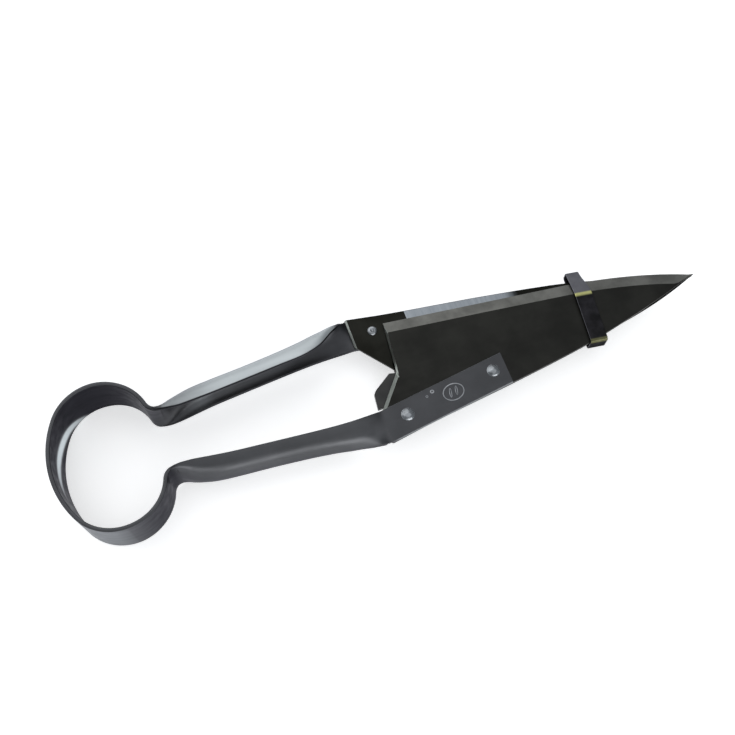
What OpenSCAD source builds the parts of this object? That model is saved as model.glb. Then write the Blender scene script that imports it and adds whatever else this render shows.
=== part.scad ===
// Single-bow spring shears, closed and held by a keeper clip.
// Lengths in millimetres. The shears lie flat: X runs from the bow (-X) to the tips (+X), Y runs across
// the closing direction, and Z is up. The origin is under the middle of the shears, on the surface that
// the bow rests on. The two halves are the same shape, turned by half a turn about the long axis.

/* [Overall] */
// Length from the back of the bow to the tips
length = 340; // [339:1:341]
// Width of the spring strip at the bow
strip_w = 28; // [26:1:30]
// Thickness of the spring strip
strip_t = 2; // [1.6:0.1:2.2]

/* [Bow] */
// Radius of the flat arc at the back of the bow, at mid-thickness
back_r = 49.6; // [49:0.1:50]
// Half the angle that the back arc spans
back_angle = 30; // [29:0.5:31]
// Radius of the two shoulder arcs
shoulder_r = 23.2; // [22.8:0.1:23.6]
// Radius of the reverse bend at the neck
neck_r = 7; // [6:0.5:8]
// Angle round the shoulder at which the strip flexes
flex_angle = 115; // [110:1:120]

/* [Blades] */
// Thickness of a blade at its heel
blade_t = 3; // [2.6:0.1:3.2]
// Thickness of a blade at its tip
tip_t = 1.6; // [1.2:0.1:2]
// Gap between the two flat faces that slide over each other
face_gap = 0.3; // [0.2:0.05:0.4]
// Width of the ground bevel behind the cutting edge
bevel_w = 6.7; // [5:0.1:8]

/* [Rivets] */
// Diameter of a rivet shank
rivet_d = 4; // [3.5:0.1:4.5]
// Diameter of a rivet head
head_d = 6.6; // [6:0.1:7]
// Height of a rivet head
head_h = 1.6; // [1.2:0.1:2]

/* [Keeper] */
// Distance of the keeper from the back of the bow
keeper_x = 277.7; // [276:0.1:280]
// Width of the keeper band
keeper_w = 9; // [7:0.5:10]
// Thickness of the keeper band
keeper_t = 0.8; // [0.6:0.1:1]
// Lean of the keeper towards the tips at its top, in degrees
keeper_lean = 7.5; // [6:0.5:8]

/* [Hidden] */
eps = 0.01;
mid_z = strip_w / 2;                 // height of the plane in which the blades meet
neck_w = 24;                         // strip width at the neck
hole_gap = 0.05;                     // radial clearance round a rivet shank
face_z = face_gap / 2;               // flat face of the front blade, above the middle plane
seat_z = face_z + blade_t;           // where the strap lies on the blade
head_z = seat_z + strip_t;           // outer face of the strap

// Centres of the bow's arcs, from the back of the bow, for the half on the +Y side
back_c = [strip_t / 2 + back_r, 0];
shoulder_c = back_c + (back_r - shoulder_r) * [cos(180 - back_angle), sin(180 - back_angle)];
neck_y = 14.8;                       // mid-thickness of the strip at the neck, from the long axis
neck_angle = asin((neck_y + neck_r - shoulder_c.y) / (shoulder_r + neck_r));
neck_c = shoulder_c + (shoulder_r + neck_r) * [cos(neck_angle), sin(neck_angle)];
taper_x = 30;                        // the strip narrows from here to the neck
seam_gap = 0.16;                     // room for the seam to close as a half opens

// Sections of a handle, written for the front (lower) half. Outward is away from the long axis:
// [x, outward of front edge, outward of back edge, rise of the crown, half width, middle of width in z]
strap_z = seat_z + strip_t / 2;
HANDLE = [
    [neck_c.x, neck_y - 0.3, neck_y - 0.3, 0.6, neck_w / 2, 0],
    [60, 14.5, 14.5, 4, 11.2, 0],
    [64, 14.5, 14.5, 7, 10, 0],
    [71, 15.1, 15.1, 8.4, 8.9, 0],
    [82, 16.2, 16.2, 8.6, 8, 0],
    [100, 17.8, 17.8, 8.4, 7.8, 0],
    [118, 19.4, 19.4, 8.6, 7.8, 0],
    [130, 20.3, 20.6, 9.2, 7.6, 0.1],
    [140, 20.7, 24.2, 8.8, 6.6, 0.9],
    [148, 20.4, 30.6, 5.6, 4.2, 2.4],
    [153, 19.9, 34.2, 2.2, 1.8, 3.6],
    [157, 19.4, 35.6, 0.3, 0.3, strap_z]
];
ROUND = 12;                          // steps round a section
strap_x = [157, 224];                // where the flat strap starts and ends
strap_in = [19.4, 9.8];              // strap edge next to the long axis, at its two ends
strap_out = [35.6, 26];              // strap edge at the spine, at its two ends

// Where the rivets sit: [x, outward]
HEEL = [168.5, 25.2];
TOE = [217, 17.6];

// Blade outline, front blade: the cutting edge is on +Y, the spine on -Y
tip = [length, 0];
edge_heel = [174.8, 27];
edge_bend = [272, 16.4];             // the edge is straight from the heel to here
edge_pull = [312, 11.4];             // pulls the curved part of the edge
SPINE = [[edge_heel.x, 32.6], [188, 30.7], [224, 26], [251, 22], [269, 19], [282, 16.1], [303, 11],
         [321, 6], tip];
edge_t = 0.5;                        // thickness left at the cutting edge
blunt = 0.4;                         // half width left at the tip
heel_line = [[171.8, -1], [157, -19.4], [157, -35.6]];
// Closing stop on the rear blade's heel: it meets the root of the lower handle
STOP = [[172, 6], [171.9, -0.6], [168.3, 0.2], [158.9, -6.2], [157.5, -8], [156.6, -16],
        [172.5, -16], [174, 0]];

function bezier(a, b, c, t) = (1 - t) * (1 - t) * a + 2 * t * (1 - t) * b + t * t * c;
EDGE = concat([edge_heel], [for (t = [0:0.125:1]) bezier(edge_bend, edge_pull, tip, t)]);
function top_z(x) = lookup(x, [[224, seat_z], [length, face_z + tip_t]]);

// Closed ring round a handle, from its mid-line [outward, z]: the outer side from front to back, then the
// inner side in return
function mid_line(s) = [for (i = [0:ROUND]) let (a = 180 * i / ROUND)
    [s[1] + (s[2] - s[1]) * (1 - cos(a)) / 2 + s[3] * sin(a), s[5] + s[4] * cos(a)]];
function side(m, d) = [for (i = [0:ROUND])
    let (v = m[min(i + 1, ROUND)] - m[max(i - 1, 0)], n = [-v.y, v.x] / norm(v)) m[i] + d * n];
function handle_ring(s) = let (m = mid_line(s), inner = side(m, -strip_t / 2))
    [for (p = concat(side(m, strip_t / 2), [for (i = [ROUND:-1:0]) inner[i]])) [s[0], -p.x, p.y]];

SEAM_ANGLE = flex_angle - seam_gap / shoulder_r * 180 / PI;

// Solid between rings of equal length, each running anticlockwise as seen from its far end
module loft(rings) {
    n = len(rings[0]);
    last = len(rings) - 1;
    walls = [for (k = [0:last - 1], i = [0:n - 1]) let (j = (i + 1) % n)
        each [[k * n + i, (k + 1) * n + i, k * n + j], [k * n + j, (k + 1) * n + i, (k + 1) * n + j]]];
    polyhedron(concat([for (r = rings) each r]),
        concat(walls, [[for (i = [0:n - 1]) i], [for (i = [n - 1:-1:0]) last * n + i]]));
}

// A part drawn from the back of the bow, about the middle plane, put where it belongs
module place() translate([-length / 2, 0, mid_z]) children();

// The half turn about the long axis that makes the upper, rear half out of the lower, front half
module other_half() rotate([180, 0, 0]) children();

// Flat pie slice between two angles, to cut an arc out of a ring
module slice(r, from, to) {
    polygon(concat([[0, 0]], [for (k = [0:4]) let (a = from + (to - from) * k / 4) r * [cos(a), sin(a)]]));
}

module arc(centre, r, from, to) translate(centre) intersection() {
    difference() {
        circle(r + strip_t / 2, $fn = 120);
        circle(r - strip_t / 2, $fn = 120);
    }
    slice(r * 2, from, to);
}

module rivet_holes() for (p = [HEEL, TOE])
    translate([p.x, -p.y, -eps]) cylinder(h = head_z + 1, r = rivet_d / 2 + hole_gap, $fn = 48);

// The bent strip from the seam round the shoulder and the neck, narrowing towards the handle
module bow_arm() intersection() {
    translate([0, 0, -strip_w / 2]) linear_extrude(strip_w) mirror([0, 1]) {
        arc(shoulder_c, shoulder_r, neck_angle, SEAM_ANGLE);
        arc(neck_c, neck_r, 180 + neck_angle, 270);
    }
    rotate([90, 0, 0]) linear_extrude(length, center = true) polygon([
        [0, strip_w / 2], [taper_x, strip_w / 2], [neck_c.x, neck_w / 2], [length, neck_w / 2],
        [length, -neck_w / 2], [neck_c.x, -neck_w / 2], [taper_x, -strip_w / 2], [0, -strip_w / 2]]);
}

module strap() difference() {
    translate([0, 0, seat_z]) linear_extrude(strip_t) polygon([[strap_x[0], -strap_in[0]],
        [strap_x[1], -strap_in[1]], [strap_x[1], -strap_out[1]], [strap_x[0], -strap_out[0]]]);
    rivet_holes();
}

module handle() loft([for (s = HANDLE) handle_ring(s)]);

// One ring of the blade: flat face below, bevel above towards the edge
function blade_ring(x) =
    let (e = max(lookup(x, EDGE), blunt), s = max(lookup(x, SPINE), blunt), t = top_z(x))
    let (w = min(bevel_w, (e + s) * 0.55))
    [[x, -s, face_z], [x, e, face_z], [x, e, face_z + edge_t], [x, e - w, t], [x, -s, t]];

module blade() {
    stations = concat([edge_heel.x, 188, 224, 251, 262], [for (p = EDGE) if (p.x > 262) p.x]);
    difference() {
        union() {
            loft([for (x = stations) blade_ring(x)]);
            translate([0, 0, face_z]) linear_extrude(blade_t)
                polygon(concat([[edge_heel.x, edge_heel.y - bevel_w]], heel_line,
                    [[edge_heel.x, -lookup(edge_heel.x, SPINE)]]));
        }
        rivet_holes();
    }
}

// Rivet with a domed head on the strap and its tail on the blade's flat face
module rivet(p, tail_h) translate([p.x, -p.y, 0]) {
    rotate_extrude($fn = 48) intersection() {
        union() {
            translate([0, face_z]) square([rivet_d / 2, head_z - face_z]);
            dome(head_z, head_d / 2, head_h, 1);
            if (tail_h > 0) dome(face_z, rivet_d / 2 + 0.6, tail_h, -1);
        }
        translate([0, -strip_w]) square([strip_w, strip_w * 2]);
    }
}

// Half section of a dome of radius r and height h that stands at height z, up (1) or down (-1)
module dome(z, r, h, way) {
    ball = (r * r + h * h) / (2 * h);
    translate([0, z]) mirror([0, way < 0 ? 1 : 0]) intersection() {
        translate([0, h - ball]) circle(ball, $fn = 96);
        translate([0, 0]) square([r, h]);
    }
}

// Section of the keeper's inside, [y, z]: straight at the front, sloping back over the cutting edges
KEEPER = [[-19.5, -3.7], [-19.5, 3.7], [7.4, 3.7], [21.6, 0.4], [21.6, -3.7]];

module keeper_clip() color([0.30, 0.29, 0.27]) place()
    translate([keeper_x, 0, 0]) rotate([0, 0, -keeper_lean]) rotate([90, 0, 90])
        linear_extrude(keeper_w, center = true) difference() {
            offset(delta = keeper_t) polygon(KEEPER);
            polygon(KEEPER);
        }

module bow_spring() color([0.24, 0.25, 0.27]) place() linear_extrude(strip_w, center = true) {
    arc(back_c, back_r, 180 - back_angle, 180 + back_angle);
    arc(shoulder_c, shoulder_r, flex_angle, 180 - back_angle);
    mirror([0, 1]) arc(shoulder_c, shoulder_r, flex_angle, 180 - back_angle);
}

module lower_bow_arm() color([0.27, 0.29, 0.31]) place() bow_arm();

module upper_bow_arm() color([0.27, 0.29, 0.31]) place() other_half() bow_arm();

module lower_handle() color([0.27, 0.29, 0.31]) place() handle();

module upper_handle() color([0.62, 0.64, 0.66]) place() other_half() handle();

module lower_strap() color([0.27, 0.27, 0.29]) place() strap();

module upper_strap() color([0.27, 0.27, 0.29]) place() other_half() strap();

module front_blade() color([0.16, 0.16, 0.15]) place() blade();

module rear_blade() color([0.13, 0.13, 0.14]) place() union() {
    other_half() blade();
    translate([0, 0, -seat_z]) linear_extrude(blade_t) polygon(STOP);
}

module front_heel_rivet() color([0.72, 0.73, 0.75]) place() rivet(HEEL, 1);

module front_toe_rivet() color([0.72, 0.73, 0.75]) place() rivet(TOE, 0);

module rear_heel_rivet() color([0.72, 0.73, 0.75]) place() other_half() rivet(HEEL, 1);

module rear_toe_rivet() color([0.72, 0.73, 0.75]) place() other_half() rivet(TOE, 0);

bow_spring();
upper_bow_arm();
lower_bow_arm();
upper_handle();
lower_handle();
upper_strap();
lower_strap();
front_blade();
rear_blade();
front_heel_rivet();
front_toe_rivet();
rear_heel_rivet();
rear_toe_rivet();
keeper_clip();
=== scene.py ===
# Looks of the sheep shears: spring strip, blades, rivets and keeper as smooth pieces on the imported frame.
from math import asin, atan2, cos, pi, radians, sin, tan, tau

import bmesh
import bpy
from mathutils import Matrix, Vector

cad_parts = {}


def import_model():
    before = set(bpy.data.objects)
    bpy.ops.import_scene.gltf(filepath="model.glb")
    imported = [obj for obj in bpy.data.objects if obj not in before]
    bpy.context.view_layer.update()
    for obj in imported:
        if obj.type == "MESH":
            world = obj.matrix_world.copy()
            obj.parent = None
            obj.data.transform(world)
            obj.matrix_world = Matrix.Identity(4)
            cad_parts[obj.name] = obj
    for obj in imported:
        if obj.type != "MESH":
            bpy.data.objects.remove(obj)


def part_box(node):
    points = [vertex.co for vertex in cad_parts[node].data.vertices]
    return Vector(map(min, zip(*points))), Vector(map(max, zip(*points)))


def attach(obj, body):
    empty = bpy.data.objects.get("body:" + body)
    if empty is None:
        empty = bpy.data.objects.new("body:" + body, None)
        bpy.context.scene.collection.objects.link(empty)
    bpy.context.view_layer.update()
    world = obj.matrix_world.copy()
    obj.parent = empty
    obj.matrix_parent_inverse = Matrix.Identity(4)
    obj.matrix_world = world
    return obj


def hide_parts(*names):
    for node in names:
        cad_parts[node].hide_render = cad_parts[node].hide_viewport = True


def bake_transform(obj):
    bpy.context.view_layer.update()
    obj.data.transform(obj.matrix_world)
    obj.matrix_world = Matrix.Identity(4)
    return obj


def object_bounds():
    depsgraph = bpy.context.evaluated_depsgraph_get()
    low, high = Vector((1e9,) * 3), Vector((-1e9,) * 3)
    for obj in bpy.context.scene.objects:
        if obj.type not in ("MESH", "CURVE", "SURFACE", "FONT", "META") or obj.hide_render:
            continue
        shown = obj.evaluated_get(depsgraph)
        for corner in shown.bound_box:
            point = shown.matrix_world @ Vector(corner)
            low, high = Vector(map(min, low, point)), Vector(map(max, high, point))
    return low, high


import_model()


def plain_box():
    low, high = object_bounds()
    return [[round(v, 6) for v in low], [round(v, 6) for v in high]]


cad_box = plain_box()

# ---------------------------------------------------------------- driving sizes, in millimetres
# Along: x from the bow's back. Across: y, or "outward" on either half. Up: z from the middle plane.
MM = 0.001
LENGTH = round((cad_box[1][0] - cad_box[0][0]) / MM, 1)
STRIP_W = round((cad_box[1][2] - cad_box[0][2]) / MM, 1)
STRIP_T = 2.0
MID_Z = STRIP_W / 2   # height of the middle plane, between the two blades
NECK_W = 24.0         # width of the strip at the neck
NECK_Y = 14.8         # outward place of the strip at the neck
TAPER_X = 30.0        # the strip narrows from here to the neck
BACK_R = 49.6         # arc of the bow's back
BACK_ANGLE = 30.0     # and how far it goes to either side
SHOULDER_R = 23.2
NECK_R = 7.0
NECK_END = 262        # angle at which the neck bend passes into the handle
FACE_Z = 0.15         # flat face of a blade
BLADE_T = 3.0
TIP_T = 1.6
SEAT_Z = FACE_Z + BLADE_T
STRAP_Z = SEAT_Z + STRIP_T / 2
HEAD_Z = SEAT_Z + STRIP_T
SEAM_X = 157.0        # the handle ends in the flat strap here, and the blade begins
STRAP_END = 224.0


def row(x, y, z):
    """Row-frame point, in metres, of a point in millimetres from the bow's back and the middle plane."""
    return Vector(((x - LENGTH / 2) * MM, y * MM, (z + MID_Z) * MM))


def rivet_place(node):
    """(x, y) of the axis of a rivet's CAD node."""
    low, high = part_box(node)
    return round((low[0] + high[0]) / 2 / MM + LENGTH / 2, 1), round((low[1] + high[1]) / 2 / MM, 1)


def on_circle(centre, r, degrees):
    a = radians(degrees)
    return centre[0] + r * cos(a), centre[1] + r * sin(a)


BACK_C = (STRIP_T / 2 + BACK_R, 0.0)
SHOULDER_C = on_circle(BACK_C, BACK_R - SHOULDER_R, 180 - BACK_ANGLE)
NECK_ANGLE = 180 / pi * asin((NECK_Y + NECK_R - SHOULDER_C[1]) / (SHOULDER_R + NECK_R))
NECK_C = on_circle(SHOULDER_C, SHOULDER_R + NECK_R, NECK_ANGLE)


def smooth(t):
    t = min(max(t, 0.0), 1.0)
    return t * t * (3 - 2 * t)


def rise(x, start, end):
    """0 before start, 1 after end, and a smooth step between them."""
    return smooth((x - start) / (end - start))


def lookup(x, table):
    """Straight-line interpolation in a list of (x, value)."""
    if x <= table[0][0]:
        return table[0][1]
    for (x0, v0), (x1, v1) in zip(table, table[1:]):
        if x <= x1:
            return v0 + (v1 - v0) * (x - x0) / (x1 - x0)
    return table[-1][1]


def spline(x, rows):
    """Catmull-Rom interpolation of every column of the rows, by their first column."""
    k = max(i for i in range(len(rows) - 1) if rows[i][0] <= x or i == 0)
    p0, p1, p2, p3 = (rows[min(max(i, 0), len(rows) - 1)] for i in (k - 1, k, k + 1, k + 2))
    h = p2[0] - p1[0]
    t = (x - p1[0]) / h
    out = []
    for c in range(1, len(p1)):
        m1 = (p2[c] - p0[c]) / (p2[0] - p0[0]) * h
        m2 = (p3[c] - p1[c]) / (p3[0] - p1[0]) * h
        a, b = 2 * t ** 3 - 3 * t ** 2 + 1, t ** 3 - 2 * t ** 2 + t
        out.append(a * p1[c] + b * m1 + (1 - a) * p2[c] + (t ** 3 - t ** 2) * m2)
    return out


# ---------------------------------------------------------------- meshes
CREASE = 35           # degrees over which an edge is shaded sharp


def new_mesh(name, verts, faces, attributes=()):
    """Object in the scene; attributes are (name, one number per vertex)."""
    mesh = bpy.data.meshes.new(name)
    mesh.from_pydata([tuple(v) for v in verts], [], faces)
    mesh.update()
    for key, values in attributes:
        layer = mesh.attributes.new(key, "FLOAT", "POINT")
        layer.data.foreach_set("value", values)
    obj = bpy.data.objects.new(name, mesh)
    bpy.context.collection.objects.link(obj)
    return obj


def loft(name, rings, attributes=(), ends="capped"):
    """Smooth-shaded skin through rings of equal length, its ends capped, open, or joined into a loop."""
    n, count = len(rings[0]), len(rings)
    faces = []
    for k in range(count if ends == "joined" else count - 1):
        here, there = k * n, (k + 1) % count * n
        for i in range(n):
            j = (i + 1) % n
            faces.append((here + i, here + j, there + j, there + i))
    if ends == "capped":
        faces.append(tuple(range(n - 1, -1, -1)))
        faces.append(tuple((count - 1) * n + i for i in range(n)))
    obj = new_mesh(name, [v for r in rings for v in r], faces, attributes)
    bm = bmesh.new()
    bm.from_mesh(obj.data)
    bmesh.ops.recalc_face_normals(bm, faces=bm.faces)
    bm.to_mesh(obj.data)
    bm.free()
    obj.data.set_sharp_from_angle(angle=radians(CREASE))
    for p in obj.data.polygons:
        p.use_smooth = True
    return obj


# ---------------------------------------------------------------- material tools
def material(name, rough, metallic=1.0):
    """New material with its shader; the caller wires in what varies."""
    m = bpy.data.materials.new(name)
    m.use_nodes = True
    tree = m.node_tree
    shader = tree.nodes["Principled BSDF"]
    shader.inputs["Metallic"].default_value = metallic
    shader.inputs["Roughness"].default_value = rough
    return m, tree, shader


def noise(tree, scale, detail, stretch=(1, 1, 1)):
    """Noise in object space, stretched along an axis for grinding and rolling marks."""
    coord = tree.nodes.new("ShaderNodeTexCoord")
    mapping = tree.nodes.new("ShaderNodeMapping")
    mapping.inputs["Scale"].default_value = stretch
    tex = tree.nodes.new("ShaderNodeTexNoise")
    tex.inputs["Scale"].default_value = scale
    tex.inputs["Detail"].default_value = detail
    tex.inputs["Roughness"].default_value = 0.55
    tree.links.new(coord.outputs["Object"], mapping.inputs["Vector"])
    tree.links.new(mapping.outputs["Vector"], tex.inputs["Vector"])
    return tex.outputs["Fac"]


def mix(tree, factor, a, b):
    """Colour mix; the factor is a socket, and a and b are sockets or colours."""
    node = tree.nodes.new("ShaderNodeMix")
    node.data_type = "RGBA"
    tree.links.new(factor, node.inputs[0])
    for key, value in ((6, a), (7, b)):
        if hasattr(value, "links"):
            tree.links.new(value, node.inputs[key])
        else:
            node.inputs[key].default_value = (*value, 1.0)
    return node.outputs[2]


def remap(tree, value, low, high, to_low=0, to_high=1):
    node = tree.nodes.new("ShaderNodeMapRange")
    for key, number in (("From Min", low), ("From Max", high), ("To Min", to_low), ("To Max", to_high)):
        node.inputs[key].default_value = number
    tree.links.new(value, node.inputs["Value"])
    return node.outputs["Result"]


def attribute(tree, name):
    node = tree.nodes.new("ShaderNodeAttribute")
    node.attribute_name = name
    return node.outputs["Fac"]


def drift(tree, cloud, a, b):
    """Two close tones that drift into each other."""
    return mix(tree, remap(tree, cloud, 0.35, 0.65), a, b)


def scaled(colour, factor):
    return tuple(c * factor for c in colour)


def relief(tree, shader, marks, smoothest, roughest, depth, strength=0.3):
    """Roughness and a fine relief, depth metres high, from the same marks."""
    tree.links.new(remap(tree, marks, 0.3, 0.7, smoothest, roughest), shader.inputs["Roughness"])
    node = tree.nodes.new("ShaderNodeBump")
    node.inputs["Strength"].default_value = strength
    node.inputs["Distance"].default_value = depth
    tree.links.new(marks, node.inputs["Height"])
    tree.links.new(node.outputs["Normal"], shader.inputs["Normal"])


# ---------------------------------------------------------------- materials
ALONG = (0.12, 1, 1)      # stretch of marks that run along the shears
ACROSS = (1, 0.1, 1)
# Darkest and brightest strip steel: the ends of the painted shade and painted highlight on the strip
PAINTED_SHADE_STEEL = (0.012, 0.012, 0.015)
SATIN_STEEL = (0.095, 0.097, 0.102)
PAINTED_HIGHLIGHT_STEEL = (0.86, 0.93, 0.95)
BLACKENED = ((0.011, 0.011, 0.009), (0.020, 0.020, 0.017))


def strip_material():
    """Steel whose painted light attribute runs from a painted shade, through the plain satin steel, to a
    painted highlight.
    """
    m, tree, shader = material("strip_steel", 0.38)
    shader.inputs["Specular Tint"].default_value = (0.64, 0.64, 0.67, 1)
    painted_light_tone = attribute(tree, "painted_light_tone")
    cloud = noise(tree, 55, 5)
    low = drift(tree, cloud, PAINTED_SHADE_STEEL, scaled(PAINTED_SHADE_STEEL, 1.35))
    high = drift(tree, cloud, SATIN_STEEL, scaled(SATIN_STEEL, 1.2))
    # painted shade up to the plain satin steel, then a painted highlight towards bright steel
    base = mix(tree, remap(tree, painted_light_tone, 0, 0.5), low, high)
    base = mix(tree, remap(tree, painted_light_tone, 0.5, 1), base, PAINTED_HIGHLIGHT_STEEL)
    tree.links.new(base, shader.inputs["Base Color"])
    relief(tree, shader, noise(tree, 260, 3, ALONG), 0.31, 0.48, 0.00005, 0.25)
    return m


def plain_steel(name, a, b, rough, scale=90, streak=(1, 1, 1), metallic=1.0):
    """Steel in two close tones that drift into each other, with fine marks along one way."""
    m, tree, shader = material(name, rough, metallic)
    tree.links.new(drift(tree, noise(tree, scale, 5), a, b), shader.inputs["Base Color"])
    relief(tree, shader, noise(tree, 420, 3, streak), rough - 0.06, rough + 0.08, 0.00004)
    return m


def flat_face_material():
    """Flat side of a blade: hollow-ground and polished where the polish attribute is 1, else blackened."""
    m, tree, shader = material("flat_face", 0.4)
    cloud = noise(tree, 60, 5)
    streaks = noise(tree, 900, 2, (1, 0.04, 1))
    black = drift(tree, cloud, *BLACKENED)
    bare = mix(tree, remap(tree, streaks, 0.3, 0.7), (0.29, 0.32, 0.35), (0.40, 0.43, 0.46))
    bare = mix(tree, remap(tree, cloud, 0.3, 0.7, 0.35, 0), bare, (0.22, 0.24, 0.26))
    tree.links.new(mix(tree, attribute(tree, "polish"), black, bare), shader.inputs["Base Color"])
    relief(tree, shader, streaks, 0.30, 0.46, 0.00003)
    return m


def keeper_material():
    """Dark browned band, with painted light on some flats and on one rim, and rubbed to a brassy tone with
    a painted highlight along its folds.
    """
    m, tree, shader = material("keeper_steel", 0.36)
    shader.inputs["Specular Tint"].default_value = (0.45, 0.45, 0.45, 1)
    cloud = noise(tree, 180, 5)
    dark = drift(tree, cloud, (0.016, 0.016, 0.017), (0.034, 0.033, 0.037))
    # painted light: a lighter tone on the flats and the rim that face the lamps
    flat_painted_light = mix(tree, cloud, (0.10, 0.10, 0.115), (0.20, 0.20, 0.215))
    brass_and_sheen = mix(tree, cloud, (0.42, 0.41, 0.15), (0.66, 0.66, 0.30))
    base = mix(tree, attribute(tree, "flat_painted_light"), dark, flat_painted_light)
    # brassy wear with a painted highlight along the folds
    base = mix(tree, remap(tree, attribute(tree, "fold_brass_and_sheen"), 0.05, 0.8), base, brass_and_sheen)
    tree.links.new(base, shader.inputs["Base Color"])
    relief(tree, shader, noise(tree, 500, 3), 0.28, 0.46, 0.00004)
    return m


strip_steel = strip_material()
black_face = plain_steel("black_face", *BLACKENED, 0.45, 60, ALONG, 0.7)
stop_face = plain_steel("stop_face", (0.035, 0.035, 0.035), (0.062, 0.062, 0.060), 0.45, 60, ALONG, 0.8)
ground_bevel = plain_steel("ground_bevel", (0.13, 0.13, 0.12), (0.20, 0.20, 0.185), 0.48, 80, ACROSS)
heel_grind = plain_steel("heel_grind", (0.34, 0.37, 0.34), (0.46, 0.49, 0.46), 0.36, 90, ACROSS)
rivet_steel = plain_steel("rivet_steel", (0.20, 0.21, 0.22), (0.36, 0.38, 0.40), 0.24, 300)
stamp_steel = plain_steel("stamp_steel", (0.22, 0.23, 0.24), (0.36, 0.37, 0.39), 0.30, 300)
flat_face = flat_face_material()
keeper_steel = keeper_material()

# ---------------------------------------------------------------- spring strip
# [x, outward of front edge, outward of back edge, rise of the crown, half width, middle of width in z]
HANDLE = [
    (55.7, 14.9, 14.9, 2.4, 11.7, 0), (58, 14.6, 14.6, 3.7, 11.4, 0), (61, 14.5, 14.5, 5.5, 10.8, 0),
    (65, 14.5, 14.5, 7.2, 9.8, 0), (72, 15.2, 15.2, 8.4, 8.9, 0), (82, 16.2, 16.2, 8.6, 8, 0),
    (100, 17.8, 17.8, 8.4, 7.8, 0), (118, 19.4, 19.4, 8.6, 7.8, 0), (130, 20.3, 20.6, 9.2, 7.6, 0.1),
    (140, 20.7, 24.2, 8.8, 6.6, 0.9), (148, 20.4, 30.6, 5.6, 4.2, 2.4), (153, 19.9, 34.2, 2.2, 1.8, 3.6),
    (SEAM_X, 19.4, 35.6, 0, 0, STRAP_Z), (STRAP_END, 9.8, 26, 0, 0, STRAP_Z),
]
SECTION = 28          # steps across the strip
ROUND = 4             # steps round a rim
RIM_R = 0.45          # how far a rim's rounding reaches out
CROWN_AT_NECK = 2.4   # rise of the crown where the neck bend ends
HANDLE_FROM = 56.2    # first section after the neck bend
EVEN = (72, 128)      # between these the section changes slowly, so its steps are long
STRAP_STATIONS = (SEAM_X, 158, 160, 180, 200, 222, 223.4, STRAP_END)

OUTER, INNER, RIM = range(3)
# Painted light on the steel along x: 0 is painted shade, 0.5 is the plain satin steel, 1 is painted
# highlight
OUTER_PAINTED_LIGHT = ((22, 0.57), (28, 0.52), (38, 0.16), (44, 0.05), (52, 0.05), (60, 0.34))
INNER_PAINTED_LIGHT = ((40, 0), (50, 0.22), (58, 0.46), (76, 0.54), (110, 0.34), (150, 0.24))
STRIP_RIM_PAINTED_LIGHT = ((48, 0.34), (58, 0.12), (150, 0.12), (160, 0.58))
# Painted highlight on the upper handle's flank and painted shade on the lower one's; both are the same
# steel
UPPER_HANDLE_HIGHLIGHT = 0.71
LOWER_HANDLE_SHADE = 0.42
PAINTED_LIGHT_IN = ((54, 58, 0.65), (58, 94, 0.35))    # the handle's painted light comes in by these shares over these x
PAINTED_LIGHT_OUT = (150, 156)                         # goes out over these
PAINTED_LIGHT_SIDE = (-3, 3)                           # and is only on the side that faces up

# Painted highlight: a painted reflection on the inside of the bow's back
HIGHLIGHT_FROM = 127        # the painted highlight streak inside the bow's back begins at this angle
HIGHLIGHT_SPAN = 68         # and goes on for this many degrees
HIGHLIGHT_END_Z = 0.6       # its height where it ends
HIGHLIGHT_CLIMB = 17.0      # how far it climbs on its way
HIGHLIGHT_HALF = 1.4        # half its width at its ends
HIGHLIGHT_SWELL = 3.8       # and what the middle has more
HIGHLIGHT_SOFT = (0.35, 1.35)       # its sides fade out between these multiples of half its width


def rim(point, normal, half):
    """Points round a rim, from the side that normal points to, over to the other side."""
    out = Vector((normal.y, -normal.x)) * RIM_R
    return [(point + normal * half * cos(a) + out * sin(a), RIM) for a in
            (pi * k / (ROUND + 1) for k in range(1, ROUND + 1))]


def strip_profile(mid):
    """Closed outline round a mid-line of (outward, z) points, with rounded rims: (point, side)."""
    n = len(mid)
    normal = []
    for i in range(n):
        v = mid[min(i + 1, n - 1)] - mid[max(i - 1, 0)]
        normal.append(Vector((-v.y, v.x)).normalized())
    half = STRIP_T / 2
    outline = [(mid[i] + normal[i] * half, OUTER) for i in range(n)]
    outline += rim(mid[-1], normal[-1], half)
    outline += [(mid[i] - normal[i] * half, INNER) for i in range(n - 1, -1, -1)]
    outline += rim(mid[0], -normal[0], half)
    return outline


def half_width(x):
    return lookup(x, ((TAPER_X, STRIP_W / 2), (NECK_C[0], NECK_W / 2)))


def bend_profile(x, crown):
    """Section of the flat strip, which starts to crown outward where the neck turns into the handle."""
    inset, round_share = half_width(x) - RIM_R, min(crown / CROWN_AT_NECK, 1.0)
    mid = []
    for i in range(SECTION + 1):
        straight, a = 1 - 2 * i / SECTION, pi * i / SECTION
        mid.append(Vector((crown * sin(a), inset * (straight + (cos(a) - straight) * round_share))))
    return strip_profile(mid)


def handle_profile(front, back, crown, half, z):
    """Section of the trough-shaped handle or the flat strap, from a row of HANDLE without its x."""
    mid = []
    for i in range(SECTION + 1):
        a = pi * i / SECTION
        outward = front + (back - front) * (1 - cos(a)) / 2 + crown * sin(a)
        mid.append(Vector((outward, z + half * cos(a))))
    return strip_profile(mid)


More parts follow.
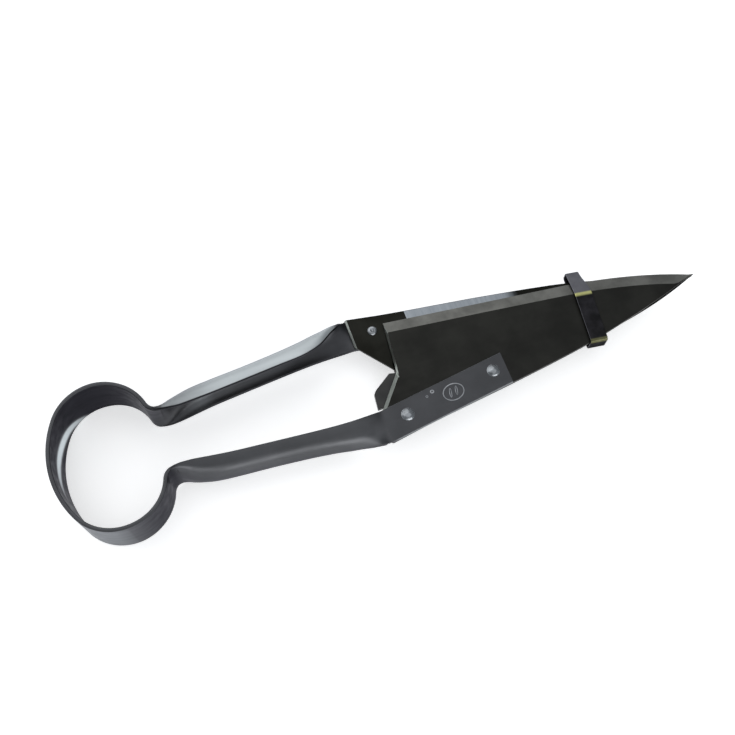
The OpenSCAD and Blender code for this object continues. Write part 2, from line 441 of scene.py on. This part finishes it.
def strip_stations():
    """(point, outward direction, outline) along one half, from the bow's back to the strap's end."""
    stations = []

    def bend(centre, r, start, end, steps, sign, first=1, crown=0.0):
        for k in range(first, steps + 1):
            a = start + (end - start) * k / steps
            p = on_circle(centre, r, a)
            n = (sign * cos(radians(a)), sign * sin(radians(a)))
            stations.append((p, n, bend_profile(p[0], crown * smooth(k / steps))))

    def straight(x, section):
        stations.append(((x, 0), (0, 1), handle_profile(*section)))

    bend(BACK_C, BACK_R, 180, 180 - BACK_ANGLE, 16, 1, first=0)
    bend(SHOULDER_C, SHOULDER_R, 180 - BACK_ANGLE, NECK_ANGLE, 60, 1)
    bend(NECK_C, NECK_R, 180 + NECK_ANGLE, NECK_END, 14, -1, crown=CROWN_AT_NECK)
    x = HANDLE_FROM
    while x < SEAM_X:
        straight(x, spline(x, HANDLE))
        x += 0.6 if x < EVEN[0] else 1.0 if x > EVEN[1] else 3.0
    first, last = HANDLE[-2:]
    for x in STRAP_STATIONS:
        straight(x, [lookup(x, ((first[0], a), (last[0], b))) for a, b in zip(first[1:], last[1:])])
    return stations


def painted_highlight_streak(x, y, z):
    """Share of painted highlight on the inside of the bow's back, a painted reflection in a streak that
    climbs as it goes round.
    """
    if x > TAPER_X:
        return 0.0
    angle = 180 - 180 / pi * atan2(y, BACK_C[0] - x)
    along = (angle - HIGHLIGHT_FROM) / HIGHLIGHT_SPAN
    if not 0 < along < 1:
        return 0.0
    arch = sin(pi * along)
    off = abs(z - HIGHLIGHT_END_Z + HIGHLIGHT_CLIMB * (1 - along) ** 2) / (HIGHLIGHT_HALF + HIGHLIGHT_SWELL * arch)
    return (1 - rise(off, *HIGHLIGHT_SOFT)) * arch ** 0.4


def strip_painted_light(side, p, x, z, handle_painted_light):
    """Painted light, from painted shade to painted highlight, of a point at x and z, on the given side of
    the strip whose mid-line passes through p.
    """
    # rims: painted shade along the handles, lighter on the bow and the strap
    if side == RIM:
        return lookup(p[0], STRIP_RIM_PAINTED_LIGHT)
    # inside: painted shade in the bow's back, rising to the plain satin steel along the handles, with the
    # painted highlight streak added
    if side == INNER:
        return lookup(x, INNER_PAINTED_LIGHT) + painted_highlight_streak(*p, z)
    # outside: painted light, darker where the bow faces away from the lamps
    bow = lookup(p[0], OUTER_PAINTED_LIGHT)
    # painted light of the handle's flank, only on the side that faces up
    handle = sum(share * rise(x, start, end) for start, end, share in PAINTED_LIGHT_IN) * (1 - rise(x, *PAINTED_LIGHT_OUT))
    return bow + (handle_painted_light - bow) * handle * rise(z, *PAINTED_LIGHT_SIDE)


def strip(name, turn, handle_painted_light):
    """One half of the spring strip. turn is 1 for the lower half, -1 for the upper one."""
    rings, painted_light_tone = [], []
    for p, n, outline in strip_stations():
        ring = []
        for q, side in outline:
            x, y, z = p[0] + n[0] * q.x, p[1] + n[1] * q.x, q.y * turn
            ring.append(row(x, -y * turn, z))
            painted_light_tone.append(strip_painted_light(side, (p[0], -p[1] * turn), x, z, handle_painted_light))
        rings.append(ring)
    obj = loft(name, rings, [("painted_light_tone", painted_light_tone)])
    obj.data.materials.append(strip_steel)
    return obj


upper = strip("upper_strip", -1, UPPER_HANDLE_HIGHLIGHT)
lower = strip("lower_strip", 1, LOWER_HANDLE_SHADE)
for piece, body, side in ((upper, "upper_half", 1), (lower, "lower_half", -1)):
    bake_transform(piece)
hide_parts("bow_spring", "upper_bow_arm", "upper_handle", "upper_strap")
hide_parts("lower_bow_arm", "lower_handle", "lower_strap")

# ---------------------------------------------------------------- blades
EDGE_HEEL = (174.8, 27.0)     # the cutting edge runs straight from here
EDGE_BEND = (272.0, 16.4)     # to here, and then curves
EDGE_PULL = (312.0, 11.4)     # past this control point
TIP = (LENGTH, 0.0)           # to the tip
EDGE_STEPS = 24
SPINE = [(SEAM_X, 35.6), (EDGE_HEEL[0], 32.6), (188, 30.7), (224, 26), (251, 22), (269, 19), (282, 16.1),
         (303, 11), (321, 6), TIP]
HEEL_LINE = [(SEAM_X, -19.4), (171.8, -1.0), (174.7, 26.2)]
HEEL_DEPTH = 1.8              # of the ground slope along the heel
HEEL_SLOPE = (3, 7)           # its width grows from the first to the second
HEEL_TURN = (171.4, 172.8)    # between these
CORNER = 0.35                 # rounding of the spine's corners
CHAMFER = (0.9, 0.8)          # length and height of the slope at the end of the flat face
BEVEL_W = 6.7                 # of the cutting bevel
BEVEL_SHARE = 0.9             # and at most this share of the blade's width
EDGE_T = 0.5                  # thickness left at the cutting edge
BLUNT = 0.4                   # half width left at the tip
BLACK_TO = 187.7              # the flat face is black up to here, then polished
SHARP = 0.05                  # length over which that changes
MARGIN = 3.4                  # width of the dark margin that is left along the spine
MARGIN_FROM = (240, 248)      # it comes in between these
POLISH_END = (262, 300)       # and the polish fades out between these
BLADE_CREASE = 12             # degrees over which an edge of the blade is shaded sharp
STATIONS = [SEAM_X, SEAM_X + CHAMFER[0], 160, 163, 166, 169, 171.4, 171.8, 172.2, 172.8, 173.8,
            HEEL_LINE[-1][0], EDGE_HEEL[0], 176, 180, BLACK_TO - SHARP, BLACK_TO]
STATIONS += [190 + 6 * k for k in range(8)] + [240, 242, 244, 246, 248, 254, 260, 266]
BLACK, BEVEL, FLAT, GRIND = range(4)


def edge_points():
    """The cutting edge from the heel: a straight, then a quadratic curve to the tip."""
    out = [EDGE_HEEL]
    for k in range(EDGE_STEPS + 1):
        t = k / EDGE_STEPS
        out.append(tuple((1 - t) ** 2 * a + 2 * t * (1 - t) * b + t * t * c
                         for a, b, c in zip(EDGE_BEND, EDGE_PULL, TIP)))
    return out


EDGE = edge_points()


def blade_ring(x):
    """Section at x as (y, z), from the spine's flat-face corner over the edge to the spine's back."""
    spine = max(lookup(x, SPINE), BLUNT)
    top = lookup(x, ((STRAP_END, SEAT_Z), (LENGTH, FACE_Z + TIP_T)))
    if x < EDGE_HEEL[0]:
        edge, low = lookup(x, HEEL_LINE), top - HEEL_DEPTH
        width = HEEL_SLOPE[0] + (HEEL_SLOPE[1] - HEEL_SLOPE[0]) * rise(x, *HEEL_TURN)
    else:
        edge, low = max(lookup(x, EDGE), BLUNT), FACE_Z + EDGE_T
        width = min(BEVEL_W, (edge + spine) * BEVEL_SHARE)
    face = FACE_Z + CHAMFER[1] * (1 - rise(x, SEAM_X, SEAM_X + CHAMFER[0]))
    margin = (-spine + min(MARGIN, spine), face)
    inside = (-spine + min(MARGIN + 1, spine + edge / 2), face)
    near, far = CORNER * 0.3, CORNER
    return [(-spine + far, face), margin, inside, (edge, face), (edge, low), (edge - width, top),
            (-spine + far, top), (-spine + near, top - near), (-spine, top - far),
            (-spine, face + far), (-spine + near, face + near)]


def polish(x, step):
    """How far the flat face is polished at x, at the given point of the ring."""
    ground = rise(x, BLACK_TO - SHARP, BLACK_TO) * (1 - rise(x, *POLISH_END))
    return ground * (1 - rise(x, *MARGIN_FROM)) if step < 2 else ground


def blade_finish(x, step):
    """Material of the face after the station x and the given point of the ring."""
    if step < 3:
        return GRIND if x < SEAM_X + CHAMFER[0] else FLAT
    if step == 3:
        return BEVEL if x >= HEEL_LINE[-1][0] else BLACK
    if step == 4:
        return BEVEL if x >= EDGE_HEEL[0] else GRIND
    return BLACK


def blade(name, turn):
    """turn is 1 for the front blade, -1 for the rear one."""
    xs = STATIONS + [p[0] for p in EDGE[1:]]
    rings = [[row(x, y * turn, z * turn) for y, z in blade_ring(x)] for x in xs]
    n = len(rings[0])
    obj = loft(name, rings, [("polish", [polish(x, k) for x in xs for k in range(n)])])
    for m in (black_face, ground_bevel, flat_face, heel_grind):
        obj.data.materials.append(m)
    for f in obj.data.polygons:
        steps = sorted(v % n for v in f.vertices)
        if len(steps) == 4 and steps[-1] - steps[0] == 1:
            f.material_index = blade_finish(xs[min(f.vertices) // n], steps[0])
    obj.data.set_sharp_from_angle(angle=radians(BLADE_CREASE))
    return obj


def plate(name, outline, z0, z1, chamfer):
    """Flat plate with a small chamfer round both faces."""
    corners = [Vector(p) for p in outline]
    centre = sum(corners, Vector((0, 0))) / len(corners)
    inner = [p + (centre - p).normalized() * chamfer for p in corners]
    layers = ((inner, z0), (corners, z0 + chamfer), (corners, z1 - chamfer), (inner, z1))
    return loft(name, [[row(p.x, p.y, z) for p in points] for points, z in layers])


STOP_CHAMFER = 0.35
STOP = [(172, 6), (171.9, -0.6), (168.3, 0.2), (158.9, -6.2), (157.5, -8), (156.6, -16), (172.5, -16),
        (174, 0)]
front = blade("front_blade_ground", 1)
rear = blade("rear_blade_ground", -1)
stop = plate("rear_blade_stop", STOP, -SEAT_Z, -FACE_Z, STOP_CHAMFER)
stop.data.materials.append(stop_face)
for piece, body, node in ((front, "lower_half", "front_blade"), (rear, "upper_half", "rear_blade")):
    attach(piece, body)
    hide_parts(node)
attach(stop, "upper_half")

# ---------------------------------------------------------------- rivets
ROUND_STEPS = 48      # round a rivet
DOME_STEPS = 10       # from its rim to its top
SHANK_R = 2.0
HEAD_FOOT = [(3.25, 0), (3.3, 0.12)]      # (radius, height over the strap) at the foot of a head
HEAD_DOME = (3.22, 1.45, 0.14)            # radius and height of the dome on it, and where that starts
# (radius, height over the flat face) of a tail with a punched dimple, and of one that is all but flush
DIMPLED_TAIL = [(0.05, -0.35), (0.5, -0.4), (0.95, -0.8), (1.15, -0.95),
                (1.5, -0.92), (2.0, -0.72), (2.4, -0.4), (2.6, 0)]
FLUSH_TAIL = [(0.05, -0.03), (1.95, -0.03)]


def dome(r, h, z):
    """(radius, height) points over a dome that starts at z, from its rim to just beside its top."""
    ball = (r * r + h * h) / (2 * h)
    first, last = asin(r / ball), 0.02
    out = []
    for k in range(DOME_STEPS + 1):
        a = first + (last - first) * k / DOME_STEPS
        out.append((ball * sin(a), z + ball * cos(a) - ball + h))
    return out


def rivet(name, turn, body, tail):
    """Domed head on the strap, shank and tail, on the axis of the CAD rivet."""
    node = name.replace("_polished", "")
    place = rivet_place(node)
    profile = [(r, FACE_Z + h) for r, h in tail] + [(SHANK_R, FACE_Z), (SHANK_R, HEAD_Z)]
    profile += [(r, HEAD_Z + h) for r, h in HEAD_FOOT + dome(*HEAD_DOME)]
    circle = [tau * k / ROUND_STEPS for k in range(ROUND_STEPS)]
    obj = loft(name, [[row(place[0] + r * cos(a), place[1] + r * sin(a), z * turn) for a in circle]
                      for r, z in profile])
    obj.data.materials.append(rivet_steel)
    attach(obj, body)
    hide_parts(node)


rivet("front_heel_rivet_polished", 1, "lower_half", DIMPLED_TAIL)
rivet("front_toe_rivet_polished", 1, "lower_half", FLUSH_TAIL)
rivet("rear_heel_rivet_polished", -1, "upper_half", DIMPLED_TAIL)
rivet("rear_toe_rivet_polished", -1, "upper_half", FLUSH_TAIL)

# ---------------------------------------------------------------- stamped mark on the front strap
STAMP_STEPS = 40
STAMP_H = 0.07        # how far it stands proud
MARK = (194.0, -21.6)


def stamp(name, place, rx, ry, width, lean):
    """Flat oval ring, pressed a hair proud of the strap."""
    rings = []
    for offset, z in ((width / 2, 0.0), (width / 4, STAMP_H), (-width / 4, STAMP_H), (-width / 2, 0.0)):
        ring = []
        for k in range(STAMP_STEPS):
            a = tau * k / STAMP_STEPS
            p = Matrix.Rotation(radians(lean), 2) @ Vector(((rx + offset) * cos(a), (ry + offset) * sin(a)))
            ring.append(row(place[0] + p.x, place[1] + p.y, HEAD_Z + z))
        rings.append(ring)
    obj = loft(name, rings, ends="open")
    obj.data.materials.append(stamp_steel)
    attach(obj, "lower_half")


stamp("stamp_oval", MARK, 5.4, 4.2, 0.5, 8)
stamp("stamp_bar_a", (MARK[0] - 1.6, MARK[1]), 0.5, 2.3, 0.4, -12)
stamp("stamp_bar_b", (MARK[0] + 1.6, MARK[1] + 0.3), 0.5, 2.3, 0.4, -12)
stamp("punch_dot_a", (184.0, -18.0), 0.8, 0.7, 0.6, 0)
stamp("punch_dot_b", (180.6, -19.6), 0.5, 0.5, 0.4, 0)

# ---------------------------------------------------------------- keeper clip
KEEPER_X = 277.7
KEEPER_W = 9.0
KEEPER_T = 0.8
KEEPER_LEAN = 7.5
KEEPER_RIM = 0.2                          # chamfer along the band's rims
NARROWING = 2.0                           # the far end of the band loses this much of its tip side,
NARROW_FROM = (9, 21)                     # which comes in between these
KEEPER = [(-19.5, -3.7), (-19.5, 3.7), (7.4, 3.7), (21.6, 0.4), (21.6, -3.7)]   # (y, z) inside its corners
FOLD_R = (0.7, 0.7, 3.2, 0.7, 0.7)        # radius of each fold, in the order of KEEPER
FOLD_BRASS_AND_HIGHLIGHT = (0.0, 0.19, 0.8, 0.0, 0.0)     # how far it is rubbed to brass, with a painted highlight
KEEPER_FLAT_PAINTED_LIGHT = (0.0, 0.0, 1.0, 1.0, 0.3)         # and how much painted light the flat that follows it gets
# painted light along the band's rim on its -half side
KEEPER_RIM_PAINTED_LIGHT = 0.8
FOLD_STEPS = 6
BRASS_AND_SHEEN_FADE = 0.8                            # the brass and painted highlight fade over this much of the flat after a fold
BRASS_AND_SHEEN_LEAD = 1.5                            # and comes in over this much before the next corner


def fold_points():
    """Inside of the band as (point, outward normal, brass and painted highlight, painted light on the flat)
    round the whole loop.
    """
    out, n = [], len(KEEPER)
    for i in range(n):
        a, b, c = (Vector(KEEPER[(i + k) % n]) for k in (-1, 0, 1))
        u, v = (b - a).normalized(), (c - b).normalized()
        turn = u.angle(v)
        back = FOLD_R[i] * tan(turn / 2)
        n0, n1 = Vector((-u.y, u.x)), Vector((-v.y, v.x))
        centre = b - u * back - n0 * FOLD_R[i]
        for k in range(FOLD_STEPS + 1):
            t = k / FOLD_STEPS
            normal = (n0 * sin((1 - t) * turn) + n1 * sin(t * turn)) / sin(turn)
            # the painted light of the flats blends round the fold
            flat_painted_light = KEEPER_FLAT_PAINTED_LIGHT[i - 1] + (KEEPER_FLAT_PAINTED_LIGHT[i] - KEEPER_FLAT_PAINTED_LIGHT[i - 1]) * t
            out.append((centre + normal * FOLD_R[i], normal, FOLD_BRASS_AND_HIGHLIGHT[i], flat_painted_light))
        length = (c - b).length
        for t in (back + BRASS_AND_SHEEN_FADE, length * 0.3, length * 0.5, length * 0.7, length - BRASS_AND_SHEEN_LEAD):
            out.append((b + v * t, n1, 0.0, KEEPER_FLAT_PAINTED_LIGHT[i]))
    return out


def keeper():
    """The band, swept round the loop and leaned over across the blades."""
    lean = Matrix.Rotation(-radians(KEEPER_LEAN), 2)
    half, r, t = KEEPER_W / 2, KEEPER_RIM, KEEPER_T
    section = [(-half + r, 0.0), (half - r, 0.0), (half, r), (half, t - r),
               (half - r, t), (-half + r, t), (-half, t - r), (-half, r)]
    rings, fold_brass_and_sheen, flat_painted_light = [], [], []
    for p, normal, brass_and_sheen_share, light in fold_points():
        ring = []
        for x, height in section:
            q = p + normal * height
            narrowed = x - NARROWING * rise(q.x, *NARROW_FROM) if x > 0 else x
            place = lean @ Vector((narrowed, q.x))
            ring.append(row(KEEPER_X + place.x, place.y, q.y))
            fold_brass_and_sheen.append(brass_and_sheen_share)
            # painted light on the flats, and more of it along the rim at -half
            flat_painted_light.append(max(light, KEEPER_RIM_PAINTED_LIGHT) if x == -half else light)
        rings.append(ring)
    obj = loft("keeper_band", rings, [("fold_brass_and_sheen", fold_brass_and_sheen), ("flat_painted_light", flat_painted_light)], ends="joined")
    obj.data.materials.append(keeper_steel)
    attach(obj, "keeper")
    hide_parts("keeper_clip")


keeper()

# ---------------------------------------------------------------- stage, lights and camera
FLOOR = 15.0                      # half the floor's side, in metres
EYE = (86.8, -161.4, 424.0)       # camera, in row()'s millimetres
AIM = (159.2, 6.7, 0.0)
ROLL = 21.45
LENS = 44.96


def floor():
    corners = [(-FLOOR, -FLOOR, 0), (FLOOR, -FLOOR, 0), (FLOOR, FLOOR, 0), (-FLOOR, FLOOR, 0)]
    obj = new_mesh("floor", corners, [(0, 1, 2, 3)])
    m, _, shader = material("pale_floor", 0.9, 0.0)
    shader.inputs["Base Color"].default_value = (0.93, 0.93, 0.93, 1)
    shader.inputs["Specular IOR Level"].default_value = 0.1
    shader.inputs["Emission Color"].default_value = (1, 1, 1, 1)
    shader.inputs["Emission Strength"].default_value = 0.5
    obj.data.materials.append(m)


def softbox(name, place, aim, size, power):
    """Rectangular area light; places and sizes are in metres."""
    light = bpy.data.lights.new(name, "AREA")
    light.shape = "RECTANGLE"
    light.size, light.size_y = size
    light.energy = power
    obj = bpy.data.objects.new(name, light)
    obj.location = place
    obj.rotation_euler = (Vector(aim) - Vector(place)).to_track_quat("-Z", "Y").to_euler()
    bpy.context.collection.objects.link(obj)


def world(strength):
    w = bpy.data.worlds.new("pale_room")
    w.use_nodes = True
    background = w.node_tree.nodes["Background"]
    background.inputs["Color"].default_value = (0.86, 0.90, 0.95, 1)
    background.inputs["Strength"].default_value = strength
    bpy.context.scene.world = w


def camera():
    """Looks down from the side of the lower handle, with the long axis rising to the right."""
    cam = bpy.data.cameras.new("camera")
    cam.sensor_width = 36.0
    cam.lens = LENS
    obj = bpy.data.objects.new("camera", cam)
    eye, roll = row(*EYE), radians(ROLL)
    ahead = (row(*AIM) - eye).normalized()
    up = (Vector((0, 1, 0)) - ahead * ahead.y).normalized()
    up = up * cos(roll) + ahead.cross(up) * sin(roll)
    side = ahead.cross(up)
    obj.matrix_world = Matrix((side, up, -ahead)).transposed().to_4x4()
    obj.location = eye
    bpy.context.collection.objects.link(obj)
    bpy.context.scene.camera = obj


floor()
world(0.42)
softbox("key", (-0.35, 0.9, 0.75), (0, 0, 0.01), (2.2, 1.4), 9)
softbox("top", (0.1, -0.1, 1.3), (0, 0, 0), (1.6, 1.6), 3.5)
softbox("low", (0.05, -1.0, 0.40), (0, 0, 0.01), (1.4, 0.4), 5)
camera()
bpy.context.scene.view_settings.view_transform = "Standard"
